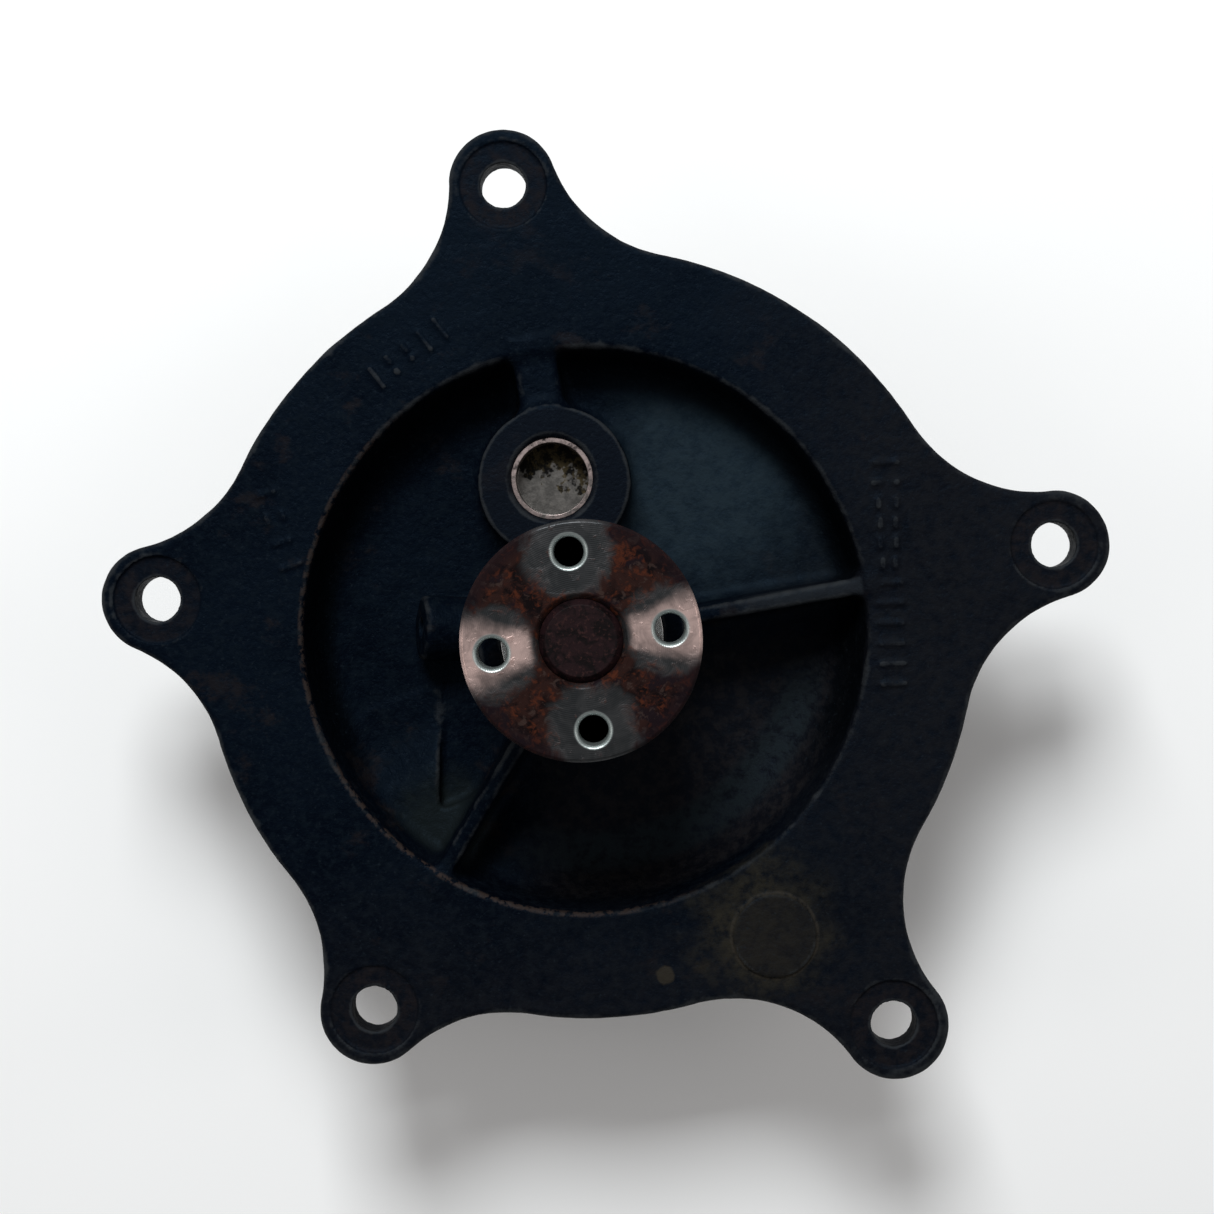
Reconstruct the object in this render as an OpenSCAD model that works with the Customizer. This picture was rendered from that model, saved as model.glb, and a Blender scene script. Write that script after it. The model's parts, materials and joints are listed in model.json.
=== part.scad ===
// Engine coolant pump: cast cover with a bowl, shaft bearing, pulley hub, face seal and impeller.
// Millimetres. +Z runs along the shaft towards the pulley hub.
// The origin is on the shaft axis, in the plane where the cover meets the engine.

/* [Mounting flange] */
// Width of the flange outside the spigot
flange_land = 18; // [14:0.5:24]
// Sideways offset of the round body from the shaft axis
body_x = 1.5; // [-4:0.1:4]
// Upward offset of the round body from the shaft axis
body_y = 0.3; // [-4:0.1:4]
// Thickness of the flange and its lugs
flange_t = 9; // [7:0.5:12]
// Radius of each lug around its bolt hole
lug_r = 13.1; // [12:0.1:16]
// Radius of the hollow curves that run from the lugs into the body
lug_fillet = 35.7; // [25:0.1:42]
// Radius of the bolt holes, clearance for a 10 mm bolt
bolt_hole_r = 5.5; // [4.5:0.1:6.5]
// Radius of the machined seat around each bolt hole
seat_r = 10.6; // [9:0.1:11.4]
// Depth of the machined seats
seat_depth = 0.6; // [0.3:0.1:1.5]
// Reach of the top bolt hole past the round body
bolt_reach_top = 17.2; // [6:0.1:34]
// Reach of the right bolt hole past the round body
bolt_reach_right = 22.8; // [6:0.1:34]
// Reach of the lower right bolt hole past the round body
bolt_reach_low_right = 27.3; // [6:0.1:34]
// Reach of the lower left bolt hole past the round body
bolt_reach_low_left = 10.4; // [6:0.1:34]
// Reach of the left bolt hole past the round body
bolt_reach_left = 10; // [6:0.1:34]
// How far the cast lugs reach past their drilled holes
lug_overreach = 0.6; // [0:0.1:1.5]

/* [Bowl] */
// Radius of the bowl at its rim
bowl_r = 68.9; // [60:0.1:74]
// Sideways offset of the bowl from the shaft axis
bowl_x = 0.5; // [-2:0.1:2]
// Upward offset of the bowl from the shaft axis
bowl_y = 1.1; // [-2:0.1:2]
// Depth of the bowl below the face of the flange
bowl_depth = 22; // [16:0.5:26]
// How much narrower the bowl is at its floor than at its rim
bowl_draft = 3.4; // [1:0.1:6]
// Radius of the curve between the bowl's floor and its wall
bowl_fillet = 7; // [3:0.1:10]
// Thickness of the bowl's floor
floor_t = 6; // [4:0.5:9]
// Height of the step in the floor at the upper right
step_upper_right = 6; // [1:0.5:9]
// Height of the step in the floor at the left
step_left = 3; // [1:0.5:6]
// Height of the pad at the lower left of the floor
pad_h = 8; // [4:0.5:12]

/* [Spigot and its seal] */
// Wall of the round spigot that enters the engine, around the bowl's rim
spigot_wall = 7.1; // [6.5:0.1:9]
// Thickness of the ring seal in the spigot's groove
ring_seal_d = 3.5; // [2.5:0.1:5]
// How far the ring seal stands out of its groove once squeezed by the cover's bore
ring_seal_proud = 0.3; // [0.1:0.1:1.2]
// Distance from the mounting plane to the middle of the groove
groove_back = 6; // [4:0.5:9]

/* [Ribs and bosses] */
// Wall of the boss around the bearing, at its front
bearing_boss_wall = 5.45; // [3.5:0.05:7]
// Taper of the bearing boss, added to its radius at the floor
bearing_boss_taper = 1.5; // [0.5:0.1:3]
// Thickness of the two thin ribs
rib_t = 4.4; // [3:0.1:8]
// Height of the rib tops over the flange where they meet the bearing boss
rib_rise = 6; // [0:0.5:12]
// Width of the thick rib between the plug boss and the rim
bridge_w = 11.2; // [8:0.1:16]
// Wall of the boss around the core plug
plug_boss_wall = 8.5; // [5:0.1:10]
// Distance from the shaft axis to the core plug
plug_dist = 38.7; // [35:0.1:44]
// Height of the plug boss over the flange
plug_boss_rise = 1; // [0.5:0.1:4]
// Radius of the casting pad at the lower right of the flange
disc_pad_r = 10.2; // [6:0.1:14]
// Height of that casting pad
disc_pad_h = 0.8; // [0.4:0.1:2]

/* [Core plug] */
// Outer radius of the cup-shaped core plug
plug_r = 10; // [8:0.1:12]
// Depth of the cup
plug_depth = 8.5; // [5:0.1:10]
// Wall of the cup
plug_wall = 1.2; // [0.8:0.1:2]
// How far the lip of the cup sits below the boss
plug_sink = 1.2; // [0.5:0.1:3]

/* [Shaft and bearing] */
// Radius of the shaft
shaft_r = 9.525; // [8.5:0.005:10.5]
// Outer radius of the bearing
race_r = 19.05; // [18.6:0.01:20.5]
// Length of the bearing
bearing_len = 36; // [32:0.5:42]
// Diameter of the bearing rollers
roller_d = 5.5; // [4.5:0.1:6]
// Length of the bearing rollers
roller_len = 9; // [7:0.5:11]
// Number of rollers
roller_count = 10; // [8:1:11]
// Diameter of the bearing balls
ball_d = 6.35; // [5.6:0.01:6.8]
// Number of balls
ball_count = 9; // [7:1:10]
// Thickness of the lip seals at the ends of the bearing
lip_seal_t = 2.2; // [1.5:0.1:3]
// Running clearance of balls, rollers and lip seals
run_clear = 0.03; // [0.01:0.01:0.08]

/* [Pulley hub] */
// Radius of the hub's flange
hub_r = 27.4; // [26.5:0.1:34]
// Thickness of the hub's flange
hub_t = 8; // [6:0.5:12]
// Distance from the face of the mounting flange to the face of the hub
hub_standoff = 40; // [38:0.5:50]
// Radius of the collar behind the hub's flange
collar_r = 16; // [13:0.1:16.4]
// Length of that collar
collar_len = 11; // [6:0.5:14]
// Diameter of the circle through the tapped holes
hub_pcd = 40.5; // [40:0.1:46]
// Radius of the tapped holes, taken at the thread's crests
tap_r = 3.4; // [2.5:0.1:3.6]
// Turn of the tapped holes from the horizontal
hub_turn = 8; // [0:1:89]

/* [Face seal] */
// Room for the seal between the shaft and the seal's bore
seal_room = 8.725; // [8.4:0.005:11]
// Thickness of the shell's sheet
shell_t = 1; // [0.6:0.1:1.2]
// Depth of the shell in its bore
shell_depth = 12; // [11:0.5:15]
// Thickness of the spring wire
wire_d = 1.2; // [0.8:0.1:1.3]
// Turns of the spring
spring_turns = 4.5; // [3:0.5:5]
// Thickness of the running ring in the impeller
seat_t = 4.5; // [3:0.1:6]

/* [Impeller] */
// Radius of the impeller
impeller_r = 52; // [46:0.5:62]
// Thickness of the impeller's disc
disc_t = 4; // [3:0.1:6]
// Height of the vanes
vane_h = 14; // [10:0.5:20]
// Thickness of the vanes
vane_t = 3.2; // [2.5:0.1:5]
// Number of vanes
vane_count = 7; // [5:1:9]
// Wall of the impeller's rear hub around the shaft
impeller_hub_wall = 4.5; // [3:0.1:7]

/* [Hidden] */
$fn = 96;
eps = 0.1;

// Radii that follow the bowl.
spigot_r = bowl_r + spigot_wall;
body_r = spigot_r + flange_land;
body_c = [body_x, body_y];

// Bolt holes, anticlockwise from the right: direction, and reach past the round body.
bolt_turn = [10.8, 100.1, 175.3, 240.9, 308.6];
bolt_reach = [bolt_reach_right, bolt_reach_top, bolt_reach_left, bolt_reach_low_left, bolt_reach_low_right];
bolt_dist = [for (reach = bolt_reach) body_r + reach];

// Heights along the shaft.
z_front = flange_t;
z_floor = z_front - bowl_depth;
z_under = z_floor - floor_t;
z_hub_face = z_front + hub_standoff;
z_hub_back = z_hub_face - hub_t;
z_collar = z_hub_back - collar_len;
collar_gap = 2;
z_bearing_front = z_collar - collar_gap;
z_bearing_rear = z_bearing_front - bearing_len;
race_proud = 0.5;
z_boss_top = z_bearing_front - race_proud;
chamber_len = 8;
z_shoulder = z_bearing_rear - chamber_len;
shell_gap = 2;
z_shell = z_shoulder - shell_gap;
z_rear_boss = z_shell - shell_depth;
z_plug_face = z_front + plug_boss_rise;

// Bearing sizes.
race_in = shaft_r + roller_d + 2 * run_clear;
pitch_r = (shaft_r + race_in) / 2;
ball_r = ball_d / 2;
roller_r = roller_d / 2;
cage_half = 1.3;
cage_clear = 0.12;
seal_inset = 0.6;
z_rollers = z_bearing_front - bearing_len * 0.32;
z_balls = z_bearing_rear + bearing_len * 0.24;

// Bowl sizes.
bowl_floor_r = bowl_r - bowl_draft;
fillet_bite = 0.8;
bearing_boss_r = race_r + bearing_boss_wall;
bridge_turn = bolt_turn[1];
right_rib_turn = 10;
lower_rib_turn = 239.5;
plug_turn = 101.2;
plug_c = plug_dist * [cos(plug_turn), sin(plug_turn)];
plug_boss_c = plug_c + [0.5, -0.8];
plug_boss_r = plug_r + plug_boss_wall;
plug_passage_r = plug_r - 2;
disc_pad_c = (spigot_r + 10.7) * [cos(302.5), sin(302.5)];

// Weep boss: a slanted outlet from the chamber behind the bearing into the bowl.
chamber_r = race_r - 3;
weep_turn = 178;
weep_tilt = 16;
weep_r = 2.5;
weep_boss_r = 8;
weep_len = 42;

// Spigot groove.
groove_floor_r = spigot_r + ring_seal_proud - ring_seal_d;
ring_squeeze = 0.05;
groove_w = ring_seal_d + 1.1;

// Face seal sizes.
shell_r = shaft_r + seal_room;
rear_boss_r = shell_r + 7.5;
lip_t = shell_t;
lip_r = shell_r + 3.3;
bellows_r = shell_r - shell_t - 2.65;
bellows_t = 1;
spring_r = shell_r - shell_t - 1.3;
carbon_in_r = bellows_r - bellows_t - 1.6;
carbon_r = bellows_r + 1.4;
neck_r = bellows_r - bellows_t;
neck_len = 3.4;
carbon_gap = 0.3;
carbon_t = 4;
z_carbon_back = z_rear_boss - carbon_gap;
z_face = z_carbon_back - carbon_t;
face_film = 0.05;
retainer_t = 0.6;
z_retainer = z_carbon_back + retainer_t;
z_spring_top = z_shell - shell_t;
band_t = 0.4;
band_len = 2.2;

// Impeller sizes.
impeller_hub_r = shaft_r + impeller_hub_wall;
z_seat = z_face - face_film;
seat_r_out = carbon_r + 0.5;
boot_t = 1.4;
pocket_r = seat_r_out + boot_t;
boot_front_gap = 0.9;
z_boot_front = z_seat - boot_front_gap;
z_pocket = z_seat - seat_t - boot_t;
z_disc_back = z_pocket + 2.4;
z_disc = z_disc_back - disc_t;
z_vane_end = z_disc - vane_h;
pocket_wall = 3;
hub_short = 1;
shaft_short = 1.5;
vane_curve_r = 0.74 * impeller_r;
vane_curve_x = 0.66 * impeller_r;

shaft_chamfer = 1.4;
hub_chamfer = 0.7;
hub_relief_r = shaft_r + 1.2;

function polar(dist, turn) = dist * [cos(turn), sin(turn)];

// Centre of the hollow curve that touches the body circle and one lug circle.
function hollow_centre(lug, side) =
    let (d = norm(lug - body_c))
    let (u = (lug - body_c) / d)
    let (n = side * [-u[1], u[0]])
    let (big = body_r - eps + lug_fillet)
    let (small = lug_r - eps + lug_fillet)
    let (a = (big * big - small * small + d * d) / (2 * d))
    body_c + u * a + n * sqrt(max(0, big * big - a * a));

// A ring about Z from z0 up to z1.
module ring(r_in, r_out, z0, z1) {
    translate([0, 0, z0])
        difference() {
            cylinder(r = r_out, h = z1 - z0);
            translate([0, 0, -1])
                cylinder(r = r_in, h = z1 - z0 + 2);
        }
}

// A round groove about Z.
module round_groove(r_mid, r_wire, z) {
    translate([0, 0, z])
        rotate_extrude()
            translate([r_mid, 0])
                circle(r = r_wire, $fn = 48);
}

module flange_plate() {
    translate([body_x, body_y, 0])
        cylinder(r = body_r, h = flange_t, $fn = 180);
    for (i = [0 : len(bolt_turn) - 1]) {
        lug = polar(bolt_dist[i] + lug_overreach, bolt_turn[i]);
        translate([lug[0], lug[1], 0])
            cylinder(r = lug_r, h = flange_t);
        for (side = [-1, 1]) {
            c = hollow_centre(lug, side);
            difference() {
                linear_extrude(height = flange_t)
                    polygon([body_c, lug, c]);
                translate([c[0], c[1], -1])
                    cylinder(r = lug_fillet, h = flange_t + 2, $fn = 180);
            }
        }
    }
}

module bolt_cuts() {
    for (i = [0 : len(bolt_turn) - 1]) {
        hole = polar(bolt_dist[i], bolt_turn[i]);
        translate([hole[0], hole[1], -1])
            cylinder(r = bolt_hole_r, h = flange_t + 2);
        translate([hole[0], hole[1], flange_t - seat_depth])
            cylinder(r = seat_r, h = seat_depth + 1);
    }
}

// A wedge of the bowl from its floor up to a step.
module floor_step(turn_a, turn_b, step) {
    mid = (turn_a + turn_b) / 2;
    far = 2 * bowl_r;
    intersection() {
        translate([bowl_x, bowl_y, z_floor - 1])
            cylinder(r = bowl_r, h = step + 1);
        translate([0, 0, z_floor - 1])
            linear_extrude(height = step + 1)
                polygon([[0, 0], polar(far, turn_a), polar(far, mid), polar(far, turn_b)]);
    }
}

// A thin rib from the bearing boss to the rim, with a top that falls outwards.
module thin_rib(turn) {
    reach = bowl_r + 1.5;
    rotate([0, 0, turn])
        translate([0, rib_t / 2, 0])
            rotate([90, 0, 0])
                linear_extrude(height = rib_t)
                    polygon([
                        [race_r + 1, z_floor - 1],
                        [reach, z_floor - 1],
                        [reach, z_front - 1],
                        [bearing_boss_r, z_front + rib_rise],
                        [race_r + 1, z_front + rib_rise]
                    ]);
}

// The pad at the lower left of the bowl, beside the thin rib.
module corner_pad() {
    intersection() {
        translate([bowl_x, bowl_y, z_floor - 1])
            cylinder(r = bowl_r, h = pad_h + 1);
        translate([0, 0, z_floor - 1])
            linear_extrude(height = pad_h + 1)
                polygon([
                    polar(40, 206.5),
                    polar(2 * bowl_r, 206.5),
                    polar(2 * bowl_r, lower_rib_turn),
                    polar(46, lower_rib_turn),
                    polar(57, 231)
                ]);
    }
}

module weep_axis() {
    rotate([0, 0, weep_turn])
        translate([0, 0, (z_bearing_rear + z_shoulder) / 2])
            rotate([0, 90 - weep_tilt, 0])
                children();
}

module bowl_solids() {
    translate([0, 0, z_floor - 1])
        cylinder(r1 = bearing_boss_r + bearing_boss_taper, r2 = bearing_boss_r, h = z_boss_top - z_floor + 1);
    translate([plug_boss_c[0], plug_boss_c[1], z_floor - 1])
        cylinder(r = plug_boss_r, h = z_plug_face - z_floor + 1);
    rotate([0, 0, bridge_turn])
        translate([plug_dist, -bridge_w / 2, z_floor - 1])
            cube([bowl_r + 3 - plug_dist, bridge_w, bowl_depth + 0.4]);
    thin_rib(right_rib_turn);
    thin_rib(lower_rib_turn);
    floor_step(right_rib_turn, bridge_turn, step_upper_right);
    floor_step(bridge_turn, lower_rib_turn, step_left);
    corner_pad();
    intersection() {
        weep_axis()
            cylinder(r = weep_boss_r, h = weep_len);
        translate([0, 0, z_under + 1])
            cylinder(r = bowl_r, h = bowl_depth);
    }
}

module bowl_fillet_ring() {
    translate([bowl_x, bowl_y, z_floor])
        rotate_extrude()
            difference() {
                translate([bowl_floor_r - bowl_fillet + fillet_bite, -1])
                    square([bowl_fillet + 1, bowl_fillet + 1]);
                translate([bowl_floor_r - bowl_fillet + fillet_bite, bowl_fillet])
                    circle(r = bowl_fillet);
            }
}

module shaft_cuts() {
    translate([0, 0, z_bearing_rear])
        cylinder(r = race_r, h = z_boss_top - z_bearing_rear + 1);
    translate([0, 0, z_shoulder - 1])
        cylinder(r = chamber_r, h = chamber_len + 2);
    translate([0, 0, z_rear_boss - 1])
        cylinder(r = shell_r, h = z_shoulder - z_rear_boss + 1);
    weep_axis()
        cylinder(r = weep_r, h = weep_len + 5);
}

module plug_cuts() {
    seat_len = plug_sink + plug_depth;
    translate([plug_c[0], plug_c[1], z_plug_face - seat_len])
        cylinder(r = plug_r, h = seat_len + 1);
    translate([plug_c[0], plug_c[1], z_plug_face - plug_sink + 0.2])
        cylinder(r1 = plug_r, r2 = plug_r + plug_sink, h = plug_sink);
    translate([plug_c[0], plug_c[1], z_under - 1])
        cylinder(r = plug_passage_r, h = z_plug_face - z_under);
}

module pump_housing() {
    color([0.09, 0.12, 0.17])
        difference() {
            union() {
                difference() {
                    union() {
                        flange_plate();
                        translate([0, 0, z_under])
                            cylinder(r = spigot_r, h = -z_under + 1, $fn = 180);
                    }
                    translate([bowl_x, bowl_y, z_floor])
                        cylinder(r1 = bowl_floor_r, r2 = bowl_r, h = bowl_depth);
                    translate([bowl_x, bowl_y, z_front - 0.01])
                        cylinder(r = bowl_r, h = 1);
                }
                bowl_solids();
                bowl_fillet_ring();
                translate([0, 0, z_rear_boss])
                    cylinder(r = rear_boss_r, h = z_floor - z_rear_boss);
                translate([disc_pad_c[0], disc_pad_c[1], z_front - 1])
                    cylinder(r = disc_pad_r, h = disc_pad_h + 1);
            }
            bolt_cuts();
            shaft_cuts();
            plug_cuts();
            ring(groove_floor_r, spigot_r + 1, -groove_back - groove_w / 2, -groove_back + groove_w / 2);
        }
}

module core_plug() {
    color("silver")
        translate([plug_c[0], plug_c[1], z_plug_face - plug_sink - plug_depth])
            difference() {
                cylinder(r = plug_r, h = plug_depth);
                translate([0, 0, plug_wall])
                    cylinder(r = plug_r - plug_wall, h = plug_depth);
            }
}

module flange_seal() {
    color([0.1, 0.1, 0.1])
        round_groove(groove_floor_r + ring_seal_d / 2 - ring_squeeze, ring_seal_d / 2, -groove_back);
}

module shaft() {
    z_end = z_vane_end + shaft_short;
    color("lightsteelblue")
        difference() {
            rotate_extrude()
                polygon([
                    [0, z_end],
                    [shaft_r - shaft_chamfer, z_end],
                    [shaft_r, z_end + shaft_chamfer],
                    [shaft_r, z_hub_face - shaft_chamfer],
                    [shaft_r - shaft_chamfer, z_hub_face + 0.3],
                    [0, z_hub_face + 0.3]
                ]);
            round_groove(pitch_r, ball_r + run_clear, z_balls);
        }
}

module bearing_race() {
    color("gainsboro")
        difference() {
            ring(race_in, race_r, z_bearing_rear, z_bearing_front);
            round_groove(pitch_r, ball_r + run_clear, z_balls);
        }
}

module bearing_balls() {
    color("white")
        for (i = [0 : ball_count - 1])
            rotate([0, 0, i * 360 / ball_count])
                translate([pitch_r, 0, z_balls])
                    sphere(r = ball_r, $fn = 48);
}

module ball_cage() {
    half = ball_r + 1;
    color("tan")
        difference() {
            ring(pitch_r - cage_half, pitch_r + cage_half, z_balls - half, z_balls + half);
            for (i = [0 : ball_count - 1])
                rotate([0, 0, i * 360 / ball_count])
                    translate([pitch_r, 0, z_balls])
                        sphere(r = ball_r + cage_clear, $fn = 48);
        }
}

module bearing_rollers() {
    color("white")
        for (i = [0 : roller_count - 1])
            rotate([0, 0, (i + 0.5) * 360 / roller_count])
                translate([pitch_r, 0, z_rollers - roller_len / 2])
                    cylinder(r = roller_r, h = roller_len, $fn = 48);
}

module roller_cage() {
    half = roller_len / 2 + 2;
    color("peru")
        difference() {
            ring(pitch_r - cage_half, pitch_r + cage_half, z_rollers - half, z_rollers + half);
            for (i = [0 : roller_count - 1])
                rotate([0, 0, (i + 0.5) * 360 / roller_count])
                    translate([pitch_r, 0, z_rollers - roller_len / 2 - cage_clear])
                        cylinder(r = roller_r + cage_clear, h = roller_len + 2 * cage_clear, $fn = 48);
        }
}

module lip_seal(z0) {
    ring(shaft_r + run_clear, race_in, z0, z0 + lip_seal_t);
}

module front_lip_seal() {
    color([0.25, 0.14, 0.1])
        lip_seal(z_bearing_front - seal_inset - lip_seal_t);
}

module rear_lip_seal() {
    color([0.25, 0.14, 0.1])
        lip_seal(z_bearing_rear + seal_inset);
}

module slinger() {
    z_mid = (z_bearing_rear + z_shoulder) / 2;
    color("darkgray")
        union() {
            ring(shaft_r, shaft_r + 2, z_mid - 1.5, z_mid + 1.5);
            ring(shaft_r + 1, chamber_r - 1.5, z_mid - 0.5, z_mid + 0.5);
        }
}

module pulley_hub() {
    color("rosybrown")
        difference() {
            rotate_extrude()
                polygon([
                    [shaft_r, z_collar],
                    [collar_r - hub_chamfer, z_collar],
                    [collar_r, z_collar + hub_chamfer],
                    [collar_r, z_hub_back - 1.5],
                    [collar_r + 0.6, z_hub_back],
                    [hub_r - hub_chamfer, z_hub_back],
                    [hub_r, z_hub_back + hub_chamfer],
                    [hub_r, z_hub_face - hub_chamfer],
                    [hub_r - hub_chamfer, z_hub_face],
                    [hub_relief_r, z_hub_face],
                    [shaft_r, z_hub_face - hub_relief_r + shaft_r]
                ]);
            for (i = [0 : 3])
                rotate([0, 0, hub_turn + i * 90])
                    translate([hub_pcd / 2, 0, 0]) {
                        translate([0, 0, z_hub_back - 1])
                            cylinder(r = tap_r, h = hub_t + 2);
                        translate([0, 0, z_hub_face - hub_chamfer])
                            cylinder(r1 = tap_r, r2 = tap_r + 2 * hub_chamfer, h = 2 * hub_chamfer);
                    }
        }
}

module seal_shell() {
    color("goldenrod")
        union() {
            ring(carbon_in_r - 0.4, shell_r, z_shell - shell_t, z_shell);
            ring(shell_r - shell_t, shell_r, z_rear_boss - lip_t, z_shell);
            ring(shell_r - shell_t, lip_r, z_rear_boss - lip_t, z_rear_boss);
        }
}

module seal_bellows() {
    color([0.12, 0.12, 0.12])
        union() {
            ring(neck_r, bellows_r, z_carbon_back, z_spring_top);
            ring(carbon_in_r, bellows_r, z_spring_top - bellows_t, z_spring_top);
        }
}

module bellows_band() {
    color("khaki")
        ring(bellows_r, bellows_r + band_t, z_retainer + 0.2, z_retainer + 0.2 + band_len);
}

module spring_retainer() {
    color("silver")
        ring(bellows_r, shell_r - shell_t - 0.25, z_carbon_back, z_retainer);
}

// The spring is one wire swept along its coil.
module seal_spring() {
    sides = 8;
    steps = 24 * spring_turns;
    low = z_retainer + wire_d / 2;
    high = z_spring_top - wire_d / 2;
    points = [
        for (i = [0 : steps])
            for (j = [0 : sides - 1])
                let (r = spring_r + wire_d / 2 * cos(j * 360 / sides))
                let (z = low + (high - low) * i / steps + wire_d / 2 * sin(j * 360 / sides))
                [r * cos(i * 15), r * sin(i * 15), z]
    ];
    skin = [
        for (i = [0 : steps - 1])
            for (j = [0 : sides - 1])
                let (k = (j + 1) % sides)
                [i * sides + j, (i + 1) * sides + j, (i + 1) * sides + k, i * sides + k]
    ];
    first = [for (j = [0 : sides - 1]) j];
    last = [for (j = [0 : sides - 1]) steps * sides + sides - 1 - j];
    color("lightgray")
        polyhedron(points = points, faces = concat(skin, [first, last]));
}

module carbon_ring() {
    color([0.2, 0.2, 0.22])
        union() {
            ring(carbon_in_r, carbon_r, z_face, z_carbon_back);
            ring(carbon_in_r, neck_r, z_carbon_back - 1, z_carbon_back + neck_len);
        }
}

module seat_ring() {
    color("ivory")
        ring(shaft_r + 1, seat_r_out, z_seat - seat_t, z_seat);
}

module seat_boot() {
    color([0.15, 0.15, 0.15])
        union() {
            ring(seat_r_out, pocket_r, z_pocket, z_boot_front);
            ring(shaft_r + 1, pocket_r, z_pocket, z_pocket + boot_t);
        }
}

module vane() {
    reach = impeller_r - 1;
    intersection() {
        translate([0, 0, z_vane_end])
            ring(impeller_hub_r - 2, reach, 0, vane_h + 1);
        translate([vane_curve_x, 0, z_vane_end])
            ring(vane_curve_r - vane_t / 2, vane_curve_r + vane_t / 2, 0, vane_h + 1);
        translate([-impeller_r, 0, z_vane_end])
            cube([2 * impeller_r, impeller_r, vane_h + 1]);
    }
}

module impeller() {
    color([0.35, 0.33, 0.3])
        difference() {
            union() {
                translate([0, 0, z_disc])
                    cylinder(r = impeller_r, h = disc_t);
                translate([0, 0, z_disc])
                    cylinder(r = pocket_r + pocket_wall, h = z_boot_front - z_disc);
                translate([0, 0, z_vane_end + hub_short])
                    cylinder(r = impeller_hub_r, h = vane_h);
                for (i = [0 : vane_count - 1])
                    rotate([0, 0, i * 360 / vane_count])
                        vane();
            }
            translate([0, 0, z_vane_end - 1])
                cylinder(r = shaft_r, h = z_boot_front - z_vane_end + 2);
            translate([0, 0, z_pocket])
                cylinder(r = pocket_r, h = z_boot_front - z_pocket + 1);
        }
}

pump_housing();
core_plug();
flange_seal();
shaft();
bearing_race();
bearing_balls();
ball_cage();
bearing_rollers();
roller_cage();
front_lip_seal();
rear_lip_seal();
slinger();
pulley_hub();
seal_shell();
seal_bellows();
seal_spring();
spring_retainer();
bellows_band();
carbon_ring();
seat_ring();
seat_boot();
impeller();
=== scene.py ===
"""Engine coolant pump seen from the pulley side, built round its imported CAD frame."""
import functools
import json
import math
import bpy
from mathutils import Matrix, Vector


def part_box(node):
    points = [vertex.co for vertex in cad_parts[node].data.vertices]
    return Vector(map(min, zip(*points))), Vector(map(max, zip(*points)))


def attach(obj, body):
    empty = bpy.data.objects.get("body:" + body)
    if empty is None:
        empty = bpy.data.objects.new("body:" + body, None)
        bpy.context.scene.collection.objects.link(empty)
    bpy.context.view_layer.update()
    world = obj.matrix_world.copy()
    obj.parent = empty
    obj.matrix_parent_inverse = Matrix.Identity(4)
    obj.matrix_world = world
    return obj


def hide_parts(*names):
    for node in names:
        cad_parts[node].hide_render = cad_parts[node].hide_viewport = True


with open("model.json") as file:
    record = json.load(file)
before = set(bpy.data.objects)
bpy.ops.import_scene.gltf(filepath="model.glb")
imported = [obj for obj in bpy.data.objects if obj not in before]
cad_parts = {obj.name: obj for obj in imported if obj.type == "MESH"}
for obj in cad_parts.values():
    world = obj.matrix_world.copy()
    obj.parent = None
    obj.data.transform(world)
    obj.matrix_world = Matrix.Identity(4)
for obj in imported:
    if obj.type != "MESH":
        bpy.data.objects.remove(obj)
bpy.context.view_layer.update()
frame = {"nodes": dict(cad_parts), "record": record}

from types import SimpleNamespace

import bpy
import numpy as np
from mathutils import Vector

MM = 0.001
NODES = frame["nodes"]
MOUNTS = {m["name"]: m for m in frame["record"]["mounts"]}


def node_box(name):
    """A CAD node's lowest and highest corner in millimetres."""
    low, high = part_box(name)
    return np.array(low) / MM, np.array(high) / MM


# ---------------------------------------------------------------- sizes, in millimetres
housing_low, housing_high = node_box("pump_housing")
plug_low, plug_high = node_box("core_plug")
impeller_low, impeller_high = node_box("impeller")
boot_low, boot_high = node_box("seat_boot")
ring_low, ring_high = node_box("flange_seal")

# flange, its lugs and the hollow curves beside them
FLANGE_T = 9.0
FLANGE_EDGE = 1.5
BODY_C = (1.5, 0.3)
BODY_R = 94.0
LUG_R = 13.1
LUG_OUT = 0.6
HOLLOW_R = 35.7
LUG_NAMES = ("lug_right", "lug_top", "lug_left", "lug_low_left", "lug_low_right")
LUGS = [tuple(np.array(MOUNTS[name]["pos_m"][:2]) / MM) for name in LUG_NAMES]
BOLT_R = MOUNTS["lug_top"]["dims"]["r_mm"]
SEAT_R = 10.6
SEAT_DEPTH = 0.6
SEAT_LEAN = 0.018

# bowl
BOWL_C = (0.5, 1.1)
BOWL_R = 68.9
BOWL_DEPTH = 22.0
BOWL_DRAFT = 3.4
BOWL_FILLET = 11.0
BOWL_RIM_EDGE = 1.3
UNDER_BOWL = 6.0
SINK = 2.0
Z_FLOOR = FLANGE_T - BOWL_DEPTH
Z_UNDER = Z_FLOOR - UNDER_BOWL
STEP_RIGHT_RISE = 6.0
STEP_LEFT_RISE = 3.0

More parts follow.
